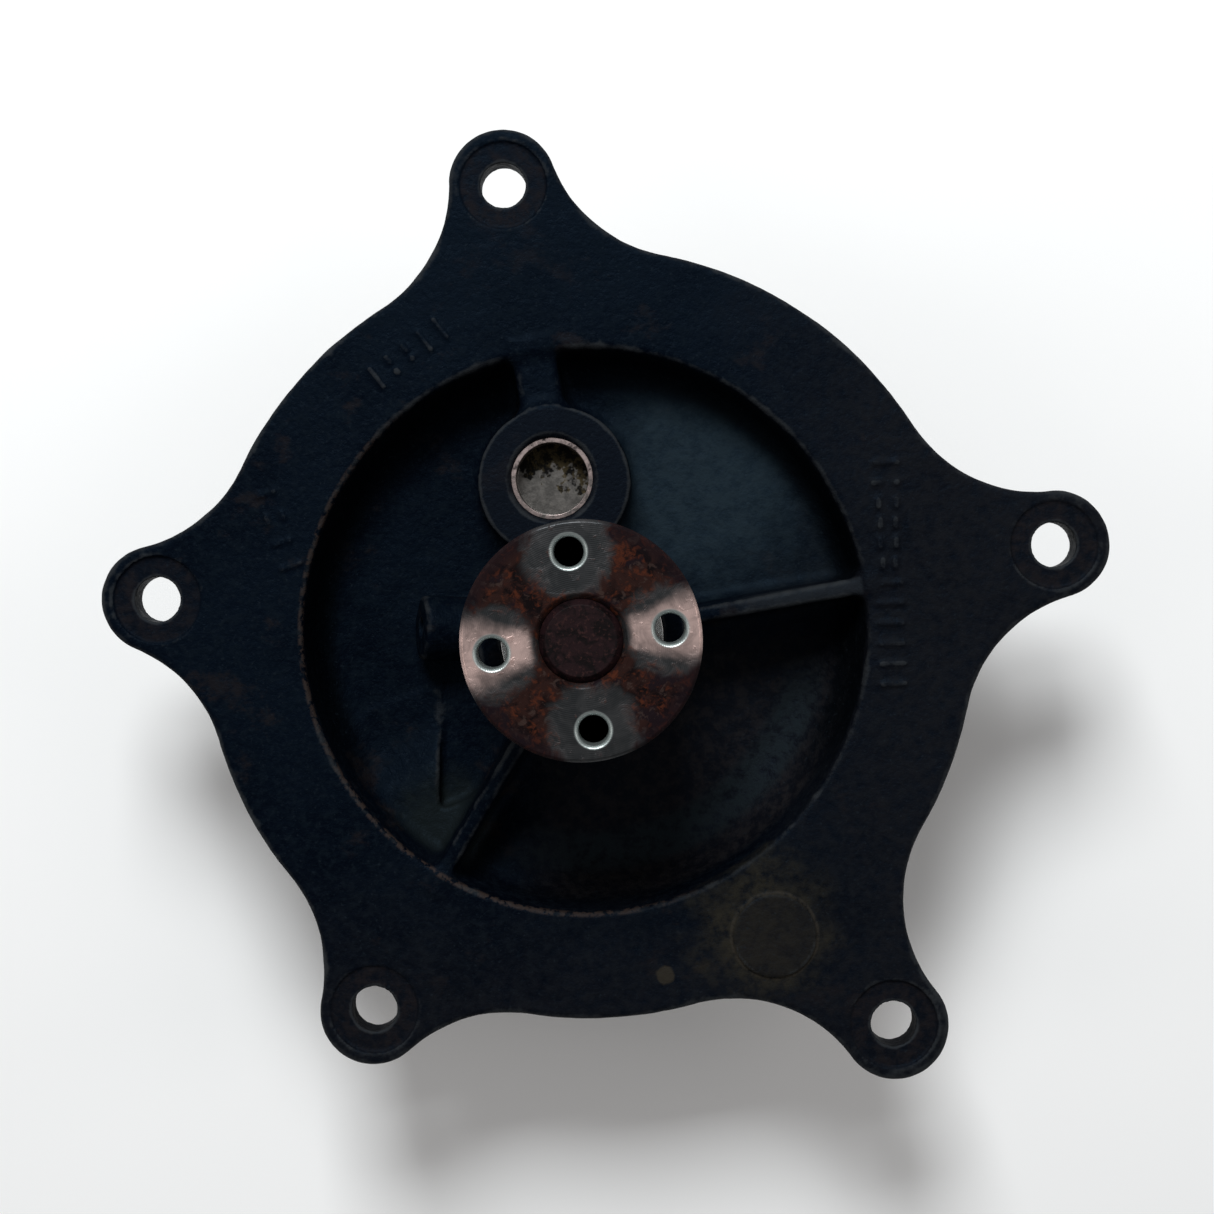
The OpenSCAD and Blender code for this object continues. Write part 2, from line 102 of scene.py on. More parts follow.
# spigot, ring seal groove and the seats along the shaft
SPIGOT_R = MOUNTS["spigot"]["dims"]["r_mm"]
GROOVE_R = ring_high[0] - 3.45
GROOVE_HALF = 2.3
Z_GROOVE = (ring_low[2] + ring_high[2]) / 2
Z_REAR_BOSS = housing_low[2]
Z_BOSS_TOP = housing_high[2]
SHAFT_R = 9.525
RACE_R = 19.05
BEARING_BOSS_R = 24.5
BEARING_BOSS_FLARE = 1.5
Z_BEARING_REAR = -8.0
Z_SHOULDER = -16.0
CHAMBER_R = 16.05
SHELL_R = 18.25
REAR_BOSS_R = SHELL_R + 7.5

# plug boss, ribs, the pad at the lower left and the marks on the flange
PLUG_R = 10.0
PLUG_STEP = 2.0
PLUG_C = tuple(((plug_low + plug_high) / 2)[:2])
PLUG_BOSS_C = (PLUG_C[0] + 0.5, PLUG_C[1] - 0.8)
PLUG_BOSS_R = 18.5
Z_PLUG_FACE = 10.0
RIGHT_RIB = 10.0
BRIDGE = 100.1
LOWER_RIB = 239.5
RIB_HALF = 1.75
RIB_DRAFT = 0.035
RIB_RISE = 6.0
BRIDGE_HALF = 5.2
BRIDGE_START = 42.0
PAD_LEFT = -36.0
PAD_CORNER = (-35.9, -44.3)
PAD_CORNER_NORMAL = (-0.349, 0.937)
PAD_TURN = 200.0
PAD_FOOT_TURN = 206.5
PAD_RAMP = 17.0
PAD_LOW = 2.5
PAD_RISE = 5.5
BUMP_C = (-17.3, -55.5)
BUMP_R = 9.0
DISC_C = (46.64, -73.21)
DISC_R = 10.2
DISC_RISE = 0.8
DAB_C = (19.95, -82.8)
MARK_RISE = 0.45

# weep outlet, which slants down and out to the left
WEEP_TURN = 178.0
WEEP_TILT = math.radians(16.0)
WEEP_Z = -12.0
WEEP_START = 16.0
WEEP_LEN = 42.0
WEEP_R = 8.0
WEEP_BORE_R = 2.5

# impeller
VANES = 7
IMPELLER_R = 52.0
IMPELLER_HUB_R = 14.0
VANE_R = 0.74 * IMPELLER_R
VANE_X = 0.66 * IMPELLER_R
VANE_HALF = 1.45
VANE_DRAFT = 0.012
Z_DISC_BACK = -37.85
Z_DISC = -41.85
Z_VANE = impeller_low[2]
Z_POCKET = boot_low[2]
POCKET_R = (boot_high[0] - boot_low[0]) / 2
POCKET_WALL = 3.0


# ---------------------------------------------------------------- distance functions, in millimetres
def smax(a, b, r):
    """Intersection with its edge rounded to radius r."""
    return np.minimum(-r, np.maximum(a, b)) + np.hypot(np.maximum(a + r, 0), np.maximum(b + r, 0))


def smin(a, b, r):
    """Union with a fillet of radius r."""
    return np.maximum(r, np.minimum(a, b)) - np.hypot(np.maximum(r - a, 0), np.maximum(r - b, 0))


def turned(x, y, degrees):
    """x and y in a frame turned by that angle."""
    c, s = math.cos(math.radians(degrees)), math.sin(math.radians(degrees))
    return x * c + y * s, y * c - x * s


def slab(v, low, high):
    return np.maximum(low - v, v - high)


def tube(x, y, z, centre, radius, low, high, edge=0.0):
    """A round bar along Z."""
    side = np.hypot(x - centre[0], y - centre[1]) - radius
    return smax(side, slab(z, low, high), edge) if edge else np.maximum(side, slab(z, low, high))


def hollow_centre(lug, side):
    """Centre of the hollow curve between the body and one lug."""
    ox, oy = BODY_C
    dx, dy = lug[0] - ox, lug[1] - oy
    d = math.hypot(dx, dy)
    ux, uy = dx / d, dy / d
    big, small = BODY_R + HOLLOW_R, LUG_R + HOLLOW_R
    along = (big * big - small * small + d * d) / (2 * d)
    off = side * math.sqrt(max(big * big - along * along, 0))
    return ox + ux * along - uy * off, oy + uy * along + ux * off


def in_triangle(x, y, a, b, c):
    def side(p, q):
        return (x - q[0]) * (p[1] - q[1]) - (p[0] - q[0]) * (y - q[1])

    d1, d2, d3 = side(a, b), side(b, c), side(c, a)
    return ~(((d1 < 0) | (d2 < 0) | (d3 < 0)) & ((d1 > 0) | (d2 > 0) | (d3 > 0)))


LUG_CAST = [tuple(np.array(p) * (1 + LUG_OUT / math.hypot(*p))) for p in LUGS]
HOLLOWS = [(lug, hollow_centre(lug, side)) for lug in LUG_CAST for side in (-1, 1)]


def outline(x, y):
    """The flange's outline: body, lugs and the hollow curves between them."""
    d = np.hypot(x - BODY_C[0], y - BODY_C[1]) - BODY_R
    for lug in LUG_CAST:
        d = np.minimum(d, np.hypot(x - lug[0], y - lug[1]) - LUG_R)
    for lug, c in HOLLOWS:
        inside = in_triangle(x, y, BODY_C, lug, c)
        d = np.where(inside, HOLLOW_R - np.hypot(x - c[0], y - c[1]), d)
    return d


def wedge(x, y, a, b):
    """Inside the sector from angle a to b, less than half a turn apart."""
    _, ya = turned(x, y, a)
    _, yb = turned(x, y, b)
    return np.maximum(-ya, yb)


def thin_rib(x, y, z, angle):
    """A rib with drafted sides, whose top falls from the bearing boss to the rim."""
    u, v = turned(x, y, angle)
    peak = FLANGE_T + RIB_RISE
    fall = np.clip((u - BEARING_BOSS_R) / (BOWL_R - BEARING_BOSS_R), 0, 1)
    top = peak - (RIB_RISE + 1.0) * fall
    half = RIB_HALF + RIB_DRAFT * (peak - z)
    body = smax(np.abs(v) - half, (z - top) * 0.96, 1.3)
    return np.maximum(np.maximum(body, slab(u, RACE_R + 1, BOWL_R + 2.5)), Z_FLOOR - SINK - z)


def weep(x, y, z):
    """Distance along and from the slanted axis of the weep outlet."""
    u, v = turned(x, y, WEEP_TURN)
    w = z - WEEP_Z
    along = u * math.cos(WEEP_TILT) + w * math.sin(WEEP_TILT)
    up = w * math.cos(WEEP_TILT) - u * math.sin(WEEP_TILT)
    return along, np.hypot(v, up)


def bowl_cut(x, y, z):
    """The hollow of the bowl, with a drafted wall and a rounded bottom corner."""
    r = np.hypot(x - BOWL_C[0], y - BOWL_C[1])
    lean = BOWL_DRAFT / BOWL_DEPTH
    wall = (r - (BOWL_R - BOWL_DRAFT + lean * (z - Z_FLOOR))) / math.hypot(1, lean)
    return smax(wall, Z_FLOOR - z, BOWL_FILLET)


def dashes(cx, cy, turn, along, across, count, seed):
    """A row of plain raised dashes, in place of cast characters."""
    dice = np.random.default_rng(seed)
    u, v = math.cos(math.radians(turn)), math.sin(math.radians(turn))
    row = []
    for i in range(count):
        offset = (i - (count - 1) / 2) * along
        x, y = cx + u * offset, cy + v * offset
        shift, kind = across * dice.uniform(0.2, 0.35), dice.integers(3)
        if kind == 0:
            row.append((x, y, turn + 90, across * 0.8, 0.7))
            continue
        for side in (-1, 1):
            length = across * (0.22 if kind == 1 or side > 0 else 0.05)
            place = (x - v * side * shift, y + u * side * shift)
            row.append((*place, turn + 90 * (kind + 1), length, 0.8))
    return row


MARKS = [
    *dashes(74.6, 15.0, 92, 4.9, 7.0, 12, 3),
    *dashes(-42.5, 68.5, 38, 4.9, 6.6, 5, 5),
    *dashes(-74.0, 25.5, 108, 6.2, 6.0, 4, 8),
]
MARK_REACH = 9.0


def marks(x, y, z):
    """All the raised dashes, each worked out only near itself."""
    d = np.full(np.broadcast(x, y, z).shape, 50.0)
    for cx, cy, turn, length, half in MARKS:
        near = (np.abs(x - cx) < MARK_REACH) & (np.abs(y - cy) < MARK_REACH) & (z > FLANGE_T - 3)
        if near.any():
            u, v = turned(x[near] - cx, y[near] - cy, turn)
            u = np.maximum(np.abs(u) - length / 2, 0)
            flat = np.hypot(u, v) - half
            tall = slab(z[near], FLANGE_T - 2, FLANGE_T + MARK_RISE)
            d[near] = np.minimum(d[near], smax(flat, tall, 0.4))
    return d


def flange_and_spigot(x, y, z):
    plate = smax(outline(x, y), z - FLANGE_T, FLANGE_EDGE)
    plate = smax(plate, -z, 0.5)
    return np.minimum(plate, tube(x, y, z, (0, 0), SPIGOT_R, Z_UNDER, 2, 0.8))


def floor_step(z, sector, rise, inside):
    """A raised sector of the bowl's floor."""
    step = np.maximum(np.maximum(sector, z - (Z_FLOOR + rise)), Z_FLOOR - SINK - 1 - z)
    return smax(step, inside - SINK, 0.5)


def low_left_pad(x, y, z, inside):
    """The pad beside the lower rib, whose top slopes up towards the rib."""
    _, v = turned(x, y, PAD_FOOT_TURN)
    ramp = np.clip(v / PAD_RAMP, 0, 1)
    top = Z_FLOOR + PAD_LOW + PAD_RISE * ramp * ramp * (3 - 2 * ramp)
    corner = (x - PAD_CORNER[0]) * PAD_CORNER_NORMAL[0] + (y - PAD_CORNER[1]) * PAD_CORNER_NORMAL[1]
    pad = np.maximum(smin(x - PAD_LEFT, corner, 2.0), wedge(x, y, PAD_TURN, LOWER_RIB))
    pad = smax(pad, (z - top) * 0.9, 1.2)
    return np.maximum(np.maximum(pad, Z_FLOOR - SINK - 1 - z), inside - SINK)


def bearing_boss(x, y, z):
    flare = BEARING_BOSS_FLARE * np.clip((Z_BOSS_TOP - z) / 40, 0, 1)
    side = np.hypot(x, y) - (BEARING_BOSS_R + flare)
    return smax(side, slab(z, Z_FLOOR - SINK, Z_BOSS_TOP), 1.0)


def plug_boss(x, y, z):
    side = np.hypot(x - PLUG_BOSS_C[0], y - PLUG_BOSS_C[1]) - (PLUG_BOSS_R + 0.03 * (Z_PLUG_FACE - z))
    return smax(side, slab(z, Z_FLOOR - SINK, Z_PLUG_FACE), 0.7)


def bridge_rib(x, y, z):
    """The thick rib from the plug boss to the rim."""
    u, v = turned(x, y, BRIDGE)
    rib = smax(np.abs(v) - BRIDGE_HALF - 0.03 * (FLANGE_T - z), z - (FLANGE_T - 0.7), 2.2)
    return np.maximum(np.maximum(rib, slab(u, BRIDGE_START, BOWL_R + 3)), Z_FLOOR - SINK - z)


def floor_bump(x, y, z):
    """A soft swelling of the bowl's lower floor."""
    ball = np.sqrt((x - BUMP_C[0]) ** 2 + (y - BUMP_C[1]) ** 2 + (z - Z_FLOOR + 3) ** 2) - BUMP_R
    return np.maximum(ball, Z_FLOOR - SINK - z)


def weep_outlet(x, y, z):
    along, off = weep(x, y, z)
    outlet = smax(off - WEEP_R, slab(along, WEEP_START, WEEP_LEN), 1.5)
    return np.maximum(outlet, Z_FLOOR - SINK - 1 - z)


def machined(body, x, y, z):
    """Takes the bores, bolt seats, weep hole, plug seat and seal groove out of the casting."""
    for k, (cx, cy) in enumerate(LUGS):
        hole = np.hypot(x - cx, y - cy)
        body = smax(body, BOLT_R - hole, 0.35)
        turn = 1.3 + 2.1 * k
        lean = SEAT_LEAN * ((x - cx) * math.cos(turn) + (y - cy) * math.sin(turn))
        body = np.maximum(body, -np.maximum(hole - SEAT_R, FLANGE_T - SEAT_DEPTH + lean - z))
    r = np.hypot(x, y)
    body = np.maximum(body, -np.maximum(r - RACE_R, Z_BEARING_REAR - z))
    body = np.maximum(body, -np.maximum(r - CHAMBER_R, slab(z, Z_SHOULDER - 1, Z_BEARING_REAR + 1)))
    body = np.maximum(body, -np.maximum(r - SHELL_R, z - Z_SHOULDER))
    along, off = weep(x, y, z)
    body = np.maximum(body, -np.maximum(off - WEEP_BORE_R, slab(along, 0, WEEP_LEN + 0.5)))
    plug = np.hypot(x - PLUG_C[0], y - PLUG_C[1])
    chamfer = np.clip(z - (Z_PLUG_FACE - 1.0), 0, 1.2)
    body = smax(body, -np.maximum(plug - PLUG_R - chamfer, plug_low[2] - z), 0.2)
    body = np.maximum(body, -np.maximum(plug - (PLUG_R - PLUG_STEP), z - plug_low[2] - 1))
    groove = np.maximum(GROOVE_R - r, np.abs(z - Z_GROOVE) - GROOVE_HALF)
    return smax(body, -groove, 0.25)


def housing(x, y, z):
    """The cast cover: flange, spigot, bowl, ribs and bosses, less its machined holes."""
    inside = bowl_cut(x, y, z)
    rear_boss = tube(x, y, z, (0, 0), REAR_BOSS_R, Z_REAR_BOSS, Z_FLOOR - 1, 0.8)
    body = smin(flange_and_spigot(x, y, z), rear_boss, 3.0)
    body = smax(body, -inside, BOWL_RIM_EDGE)

    right = wedge(x, y, RIGHT_RIB, BRIDGE)
    left = np.minimum(wedge(x, y, BRIDGE, BRIDGE + 75), wedge(x, y, BRIDGE + 60, LOWER_RIB))
    body = smin(body, floor_step(z, right, STEP_RIGHT_RISE, inside), 4.0)
    body = smin(body, floor_step(z, left, STEP_LEFT_RISE, inside), 4.0)
    body = smin(body, low_left_pad(x, y, z, inside), 2.2)
    body = smin(body, bearing_boss(x, y, z), 4.5)
    body = smin(body, plug_boss(x, y, z), 3.0)
    body = smin(body, bridge_rib(x, y, z), 3.0)
    for angle in (RIGHT_RIB, LOWER_RIB):
        body = smin(body, thin_rib(x, y, z, angle), 3.0)
    body = smin(body, floor_bump(x, y, z), 6.0)
    body = smin(body, weep_outlet(x, y, z), 3.0)
    disc = tube(x, y, z, DISC_C, DISC_R, FLANGE_T - 2, FLANGE_T + DISC_RISE, 0.5)
    body = smin(body, disc, 0.4)
    body = smin(body, marks(x, y, z), 0.4)
    return machined(body, x, y, z)


def impeller(x, y, z):
    """Cast impeller: disc, hub and curved vanes."""
    r = np.hypot(x, y)
    body = smax(r - IMPELLER_R, slab(z, Z_DISC, Z_DISC_BACK), 0.8)
    front = smax(r - (POCKET_R + POCKET_WALL), slab(z, Z_DISC, boot_high[2]), 0.8)
    body = smin(body, front, 2.0)
    rear = smax(r - IMPELLER_HUB_R, slab(z, Z_VANE + 1, Z_DISC + 1), 1.0)
    body = smin(body, rear, 2.5)
    for k in range(VANES):
        u, v = turned(x, y, k * 360 / VANES)
        blade = np.abs(np.hypot(u - VANE_X, v) - VANE_R) - (VANE_HALF + VANE_DRAFT * (z - Z_VANE))
        blade = smax(blade, slab(z, Z_VANE, Z_DISC + 1), 0.7)
        blade = smax(blade, r - (IMPELLER_R - 1), 0.7)
        blade = np.maximum(blade, np.maximum(-v, 8 - r))
        body = smin(body, blade, 1.8)
    body = smax(body, SHAFT_R - r, 0.4)
    return smax(body, -np.maximum(r - POCKET_R, Z_POCKET - z), 0.3)


# ---------------------------------------------------------------- distance function to mesh
CORNERS = [(i, j, k) for i in (0, 1) for j in (0, 1) for k in (0, 1)]


def lattice(ix, iy, iz, seed):
    """Repeatable pseudo-random values on whole-number points."""
    h = (ix * 374761393 + iy * 668265263 + iz * 2147483647 + seed * 144665) & 0xFFFFFFFF
    h = ((h ^ (h >> 13)) * 1274126177) & 0xFFFFFFFF
    return ((h ^ (h >> 16)) & 0xFFFF) / 65535.0 * 2 - 1


def noise(points, size, seed):
    """Smooth noise between -1 and 1 with features of that size."""
    p = points / size
    base = np.floor(p).astype(np.int64)
    f = p - base
    f = f * f * (3 - 2 * f)
    total = np.zeros(len(points))
    for corner in CORNERS:
        weight = np.ones(len(points))
        for axis, far in enumerate(corner):
            weight = weight * (f[:, axis] if far else 1 - f[:, axis])
        total += weight * lattice(*(base + corner).T, seed)
    return total


def near_surface(field, low, shape, step, block=12):
    """The field on a grid, worked out only in the blocks near the surface."""
    far = 9.0
    counts = [-(-n // block) for n in shape]
    grid = np.full([c * block for c in counts], far, np.float32)
    ids = np.stack(np.meshgrid(*[np.arange(c) for c in counts], indexing="ij"), -1).reshape(-1, 3)
    centres = low + (ids * block + (block - 1) / 2) * step
    d = field(centres[:, 0], centres[:, 1], centres[:, 2])
    reach = (block + 2) * step * math.sqrt(3) / 2 + 1.0
    view = grid.reshape(counts[0], block, counts[1], block, counts[2], block)
    for i, j, k in ids[d < -reach]:
        view[i, :, j, :, k, :] = -far
    near = ids[np.abs(d) <= reach]
    cell = np.stack(np.meshgrid(*[np.arange(block)] * 3, indexing="ij"), -1).reshape(-1, 3)
    for start in range(0, len(near), 300):
        part = near[start : start + 300]
        p = low + (part[:, None, :] * block + cell[None]) * step
        values = field(p[..., 0].ravel(), p[..., 1].ravel(), p[..., 2].ravel())
        values = values.reshape(len(part), block, block, block)
        for value, (i, j, k) in zip(values, part):
            view[i, :, j, :, k, :] = value
    return grid


def gradient(field, p, h=0.05):
    """The field's unit slope at each point."""
    g = np.empty_like(p)
    for a in range(3):
        q = p.copy()
        q[:, a] += h
        ahead = field(*q.T)
        q[:, a] -= 2 * h
        g[:, a] = ahead - field(*q.T)
    return g / np.maximum(np.linalg.norm(g, axis=1, keepdims=True), 1e-9)


def net_points(grid, active):
    """In each active cell, the mean of the places where the surface crosses its edges."""
    total = np.zeros((len(active), 3))
    hits = np.zeros(len(active))
    for a in CORNERS:
        for axis in range(3):
            if a[axis]:
                continue
            b = list(a)
            b[axis] = 1
            va = grid[tuple((active + a).T)].astype(float)
            vb = grid[tuple((active + b).T)].astype(float)
            cross = (va < 0) != (vb < 0)
            t = np.where(cross, va / np.where(cross, va - vb, 1), 0)
            point = np.array(a, float) + t[:, None] * (np.array(b) - a)
            total[cross] += point[cross]
            hits[cross] += 1
    return total / hits[:, None]


def net_quads(inside, number):
    """A quad of cells round every grid edge that the surface crosses."""
    quads = []
    for axis in range(3):
        u, v = (axis + 1) % 3, (axis + 2) % 3
        first = [slice(1, -1)] * 3
        first[axis] = slice(0, -1)
        second = list(first)
        second[axis] = slice(1, None)
        a, b = inside[tuple(first)], inside[tuple(second)]
        for flip, mask in ((False, a & ~b), (True, ~a & b)):
            cell = np.argwhere(mask) + [0 if s == slice(0, -1) else 1 for s in first]
            ring = []
            for du, dv in ((0, 0), (-1, 0), (-1, -1), (0, -1)):
                c = cell.copy()
                c[:, u] += du
                c[:, v] += dv
                ring.append(number[tuple(c.T)])
            quad = np.stack(ring, 1)
            quads.append(quad[:, ::-1] if flip else quad)
    return np.concatenate(quads)


def surface_net(field, low, high, step):
    """Vertices and quads on the zero level of a field."""
    low = np.array(low, float) - 2.37 * step
    shape = [int(math.ceil((b - a) / step)) + 5 for a, b in zip(low, high)]
    grid = near_surface(field, low, shape, step)
    inside = grid < 0
    n = np.array(grid.shape) - 1
    count = np.zeros(n, np.uint8)
    for i, j, k in CORNERS:
        count += inside[i : n[0] + i, j : n[1] + j, k : n[2] + k]
    active = np.argwhere((count > 0) & (count < 8))
    number = np.full(n, -1, np.int32)
    number[tuple(active.T)] = np.arange(len(active))
    return low + (active + net_points(grid, active)) * step, net_quads(inside, number)


def convexity(field, points, reach=1.5):
    """How far the field's mean round each point lies above it: positive on outer edges."""
    total = np.zeros(len(points))
    for axis in range(3):
        for h in (reach, -reach):
            q = points.copy()
            q[:, axis] += h
            total += field(*q.T)
    return total / 6 / reach


def quad_object(name, points, quads, attributes):
    """A smooth-shaded object from points in millimetres, with values stored on its vertices."""
    me = bpy.data.meshes.new(name)
    me.vertices.add(len(points))
    me.vertices.foreach_set("co", (points * MM).astype(np.float32).ravel())
    me.loops.add(quads.size)
    me.loops.foreach_set("vertex_index", quads.astype(np.int32).ravel())
    me.polygons.add(len(quads))
    me.polygons.foreach_set("loop_start", np.arange(0, quads.size, 4, dtype=np.int32))
    me.update(calc_edges=True)
    me.validate()
    me.polygons.foreach_set("use_smooth", np.ones(len(me.polygons), bool))
    for key, values in attributes.items():
        me.attributes.new(key, "FLOAT", "POINT").data.foreach_set("value", values.astype(np.float32))
    return add_object(name, me)


def add_object(name, data):
    o = bpy.data.objects.new(name, data)
    bpy.context.scene.collection.objects.link(o)
    return o


def cast_piece(name, field, low, high, step, roughness):
    """A mesh of the field, drawn onto its true surface, with a cast skin as rough as stated."""
    points, quads = surface_net(field, low, high, step)
    for _ in range(3):
        slope = gradient(field, points)
        move = np.clip(field(*points.T), -0.6 * step, 0.6 * step)
        points = points - slope * move[:, None]
    amount = roughness(points)
    skin = 0.11 * noise(points, 9.0, 1) + 0.06 * noise(points, 3.3, 2) + 0.035 * noise(points, 1.5, 3)
    points = points + gradient(field, points) * (amount * skin)[:, None]
    return quad_object(name, points, quads, {"edge": convexity(field, points), "cast": amount})


# ---------------------------------------------------------------- material helpers
class Graph:
    """Short forms for building one material's nodes."""

    def __init__(self, name):
        self.material = bpy.data.materials.new(name)
        self.material.use_nodes = True
        self.tree = self.material.node_tree
        self.tree.nodes.clear()
        out = self.tree.nodes.new("ShaderNodeOutputMaterial")
        self.shader = self.tree.nodes.new("ShaderNodeBsdfPrincipled")
        self.link(self.shader.outputs[0], out.inputs[0])
        coordinates = self.tree.nodes.new("ShaderNodeTexCoord")
        self.p = self.vector("MULTIPLY", coordinates.outputs["Object"], (1 / MM, 1 / MM, 1 / MM))

    def link(self, a, b):
        self.tree.links.new(a, b)

    def put(self, socket, value):
        if isinstance(value, bpy.types.NodeSocket):
            self.link(value, socket)
        elif value is not None:
            colour = socket.type == "RGBA" and len(value) == 3
            socket.default_value = (*value, 1.0) if colour else value

    def vector(self, op, a, b):
        n = self.tree.nodes.new("ShaderNodeVectorMath")
        n.operation = op
        self.put(n.inputs[0], a)
        self.put(n.inputs[1], b)
        return n.outputs["Value" if op == "DISTANCE" else "Vector"]

    def math(self, op, a, b=None):
        n = self.tree.nodes.new("ShaderNodeMath")
        n.operation = op
        self.put(n.inputs[0], a)
        self.put(n.inputs[1], b)
        return n.outputs[0]

    def times(self, *values):
        """The product of masks and numbers."""
        return functools.reduce(lambda a, b: self.math("MULTIPLY", a, b), values)

    def plus(self, value, field, amount):
        """A value pushed about by a field."""
        return self.math("ADD", value, self.math("MULTIPLY", field, amount))

    def centred(self, field):
        return self.math("SUBTRACT", field, 0.5)

    def xyz(self):
        n = self.tree.nodes.new("ShaderNodeSeparateXYZ")
        self.link(self.p, n.inputs[0])
        return n.outputs

    def noise(self, scale, detail=3.0, rough=0.55, stretch=None, distort=0.0):
        n = self.tree.nodes.new("ShaderNodeTexNoise")
        self.link(self.vector("MULTIPLY", self.p, stretch) if stretch else self.p, n.inputs["Vector"])
        n.inputs["Scale"].default_value = scale
        n.inputs["Detail"].default_value = detail
        n.inputs["Roughness"].default_value = rough
        n.inputs["Distortion"].default_value = distort
        return n.outputs["Fac"]

    def step(self, value, low, high):
        """0 below low and 1 above high, with a smooth passage; low may be the larger."""
        n = self.tree.nodes.new("ShaderNodeMapRange")
        n.interpolation_type = "SMOOTHSTEP"
        self.put(n.inputs["Value"], value)
        n.inputs["From Min"].default_value = low
        n.inputs["From Max"].default_value = high
        return n.outputs["Result"]

    def blend(self, factor, a, b, data_type="FLOAT", kind="VALUE"):
        """A number between a and b."""
        n = self.tree.nodes.new("ShaderNodeMix")
        n.data_type = data_type
        self.put(n.inputs[0], factor)
        first, second = [s for s in n.inputs if s.type == kind and s.name in ("A", "B")]
        self.put(first, a)
        self.put(second, b)
        return next(s for s in n.outputs if s.type == kind)

    def mix(self, factor, a, b):
        """A colour between a and b."""
        return self.blend(factor, a, b, "RGBA", "RGBA")

    def lay(self, under, mask, amount, colour):
        """A colour laid over another where the mask is 1, at that strength."""
        return self.mix(self.times(mask, amount), under, colour)

    def attribute(self, name):
        n = self.tree.nodes.new("ShaderNodeAttribute")
        n.attribute_name = name
        return n.outputs["Fac"]

    def near(self, x, y):
        """Distance in the XY plane from a point."""
        flat = self.vector("MULTIPLY", self.p, (1, 1, 0))
        return self.vector("DISTANCE", flat, (x, y, 0))

    def nearest(self, places):
        """Distance in the XY plane from the nearest of several points."""
        return functools.reduce(lambda a, b: self.math("MINIMUM", a, b), [self.near(*p) for p in places])

    def bump(self, height, distance, strength, under=None):
        n = self.tree.nodes.new("ShaderNodeBump")
        n.inputs["Strength"].default_value = strength
        n.inputs["Distance"].default_value = distance * MM
        self.put(n.inputs["Height"], height)
        self.put(n.inputs["Normal"], under)
        return n.outputs["Normal"]

    def finish(self, colour, rough, normal=None, metal=0.0, specular=0.5):
        self.put(self.shader.inputs["Base Color"], colour)
        self.put(self.shader.inputs["Roughness"], rough)
        self.put(self.shader.inputs["Metallic"], metal)
        self.put(self.shader.inputs["Specular IOR Level"], specular)
        self.put(self.shader.inputs["Normal"], normal)
        return self.material


# ---------------------------------------------------------------- materials
def paint_coat(g, f):
    """Blue-black paint with paler, browner and sandy patches."""
    colour = g.mix(g.step(f.broad, 0.38, 0.62), (0.0002, 0.0008, 0.0028), (0.0008, 0.0020, 0.0048))
    colour = g.lay(colour, g.step(f.patch, 0.48, 0.66), 0.6, (0.0026, 0.0046, 0.0074))
    stains = g.noise(0.05, 5, 0.7, (1.0, 1.4, 1.0))
    colour = g.lay(colour, g.step(stains, 0.57, 0.68), 0.75, (0.0085, 0.0066, 0.0068))
    sand = g.noise(0.8, 2, 0.6)
    colour = g.lay(colour, g.step(sand, 0.50, 0.70), 0.35, (0.0046, 0.0072, 0.0106))
    top_lug = g.step(g.plus(f.y, f.broad, 40), 75, 115)
    colour = g.lay(colour, top_lug, 0.5, (0.0014, 0.0032, 0.0064))
    right_side = g.step(g.plus(f.x, f.broad, 60), 55, 115)
    lower_side = g.step(g.plus(g.times(f.y, -1), f.broad, 50), 70, 125)
    dusty = g.math("MAXIMUM", g.times(right_side, 0.8), g.times(lower_side, 0.7))
    return g.lay(colour, dusty, g.step(f.patch, 0.05, 0.75), (0.0068, 0.0063, 0.0070))


def disc_dust_and_highlight(g, f, colour):
    """Tan dust round the casting disc, its paler rim, partly dust and partly a painted highlight, and a dab
    of beige paint.
    """
    front = g.step(f.z, 4.0, 6.0)
    spread = g.plus(g.near(DISC_C[0] - 3, DISC_C[1] + 3), f.middle, 26)
    halo = g.times(g.step(spread, 36, 20), front, g.step(f.patch, 0.2, 0.65))
    colour = g.lay(colour, halo, 0.8, (0.0200, 0.0170, 0.0108))
    radius = g.near(*DISC_C)
    face = g.times(g.step(radius, DISC_R + 0.2, DISC_R - 0.8), front)
    colour = g.lay(colour, face, 0.6, (0.0085, 0.0075, 0.0070))
    # the disc's paler rim: dust, partly a painted highlight
    rim_wear_and_glint = g.step(g.math("ABSOLUTE", g.math("SUBTRACT", radius, DISC_R + 0.3)), 0.7, 0.1)
    rim_wear_and_glint = g.times(rim_wear_and_glint, front, g.step(f.patch, 0.35, 0.6))
    colour = g.lay(colour, rim_wear_and_glint, 0.6, (0.0300, 0.0250, 0.0190))
    dab = g.step(g.plus(g.near(*DAB_C), f.patch, 1.6), 3.4, 2.6)
    return g.lay(colour, g.times(dab, front), 0.85, (0.0240, 0.0200, 0.0140))


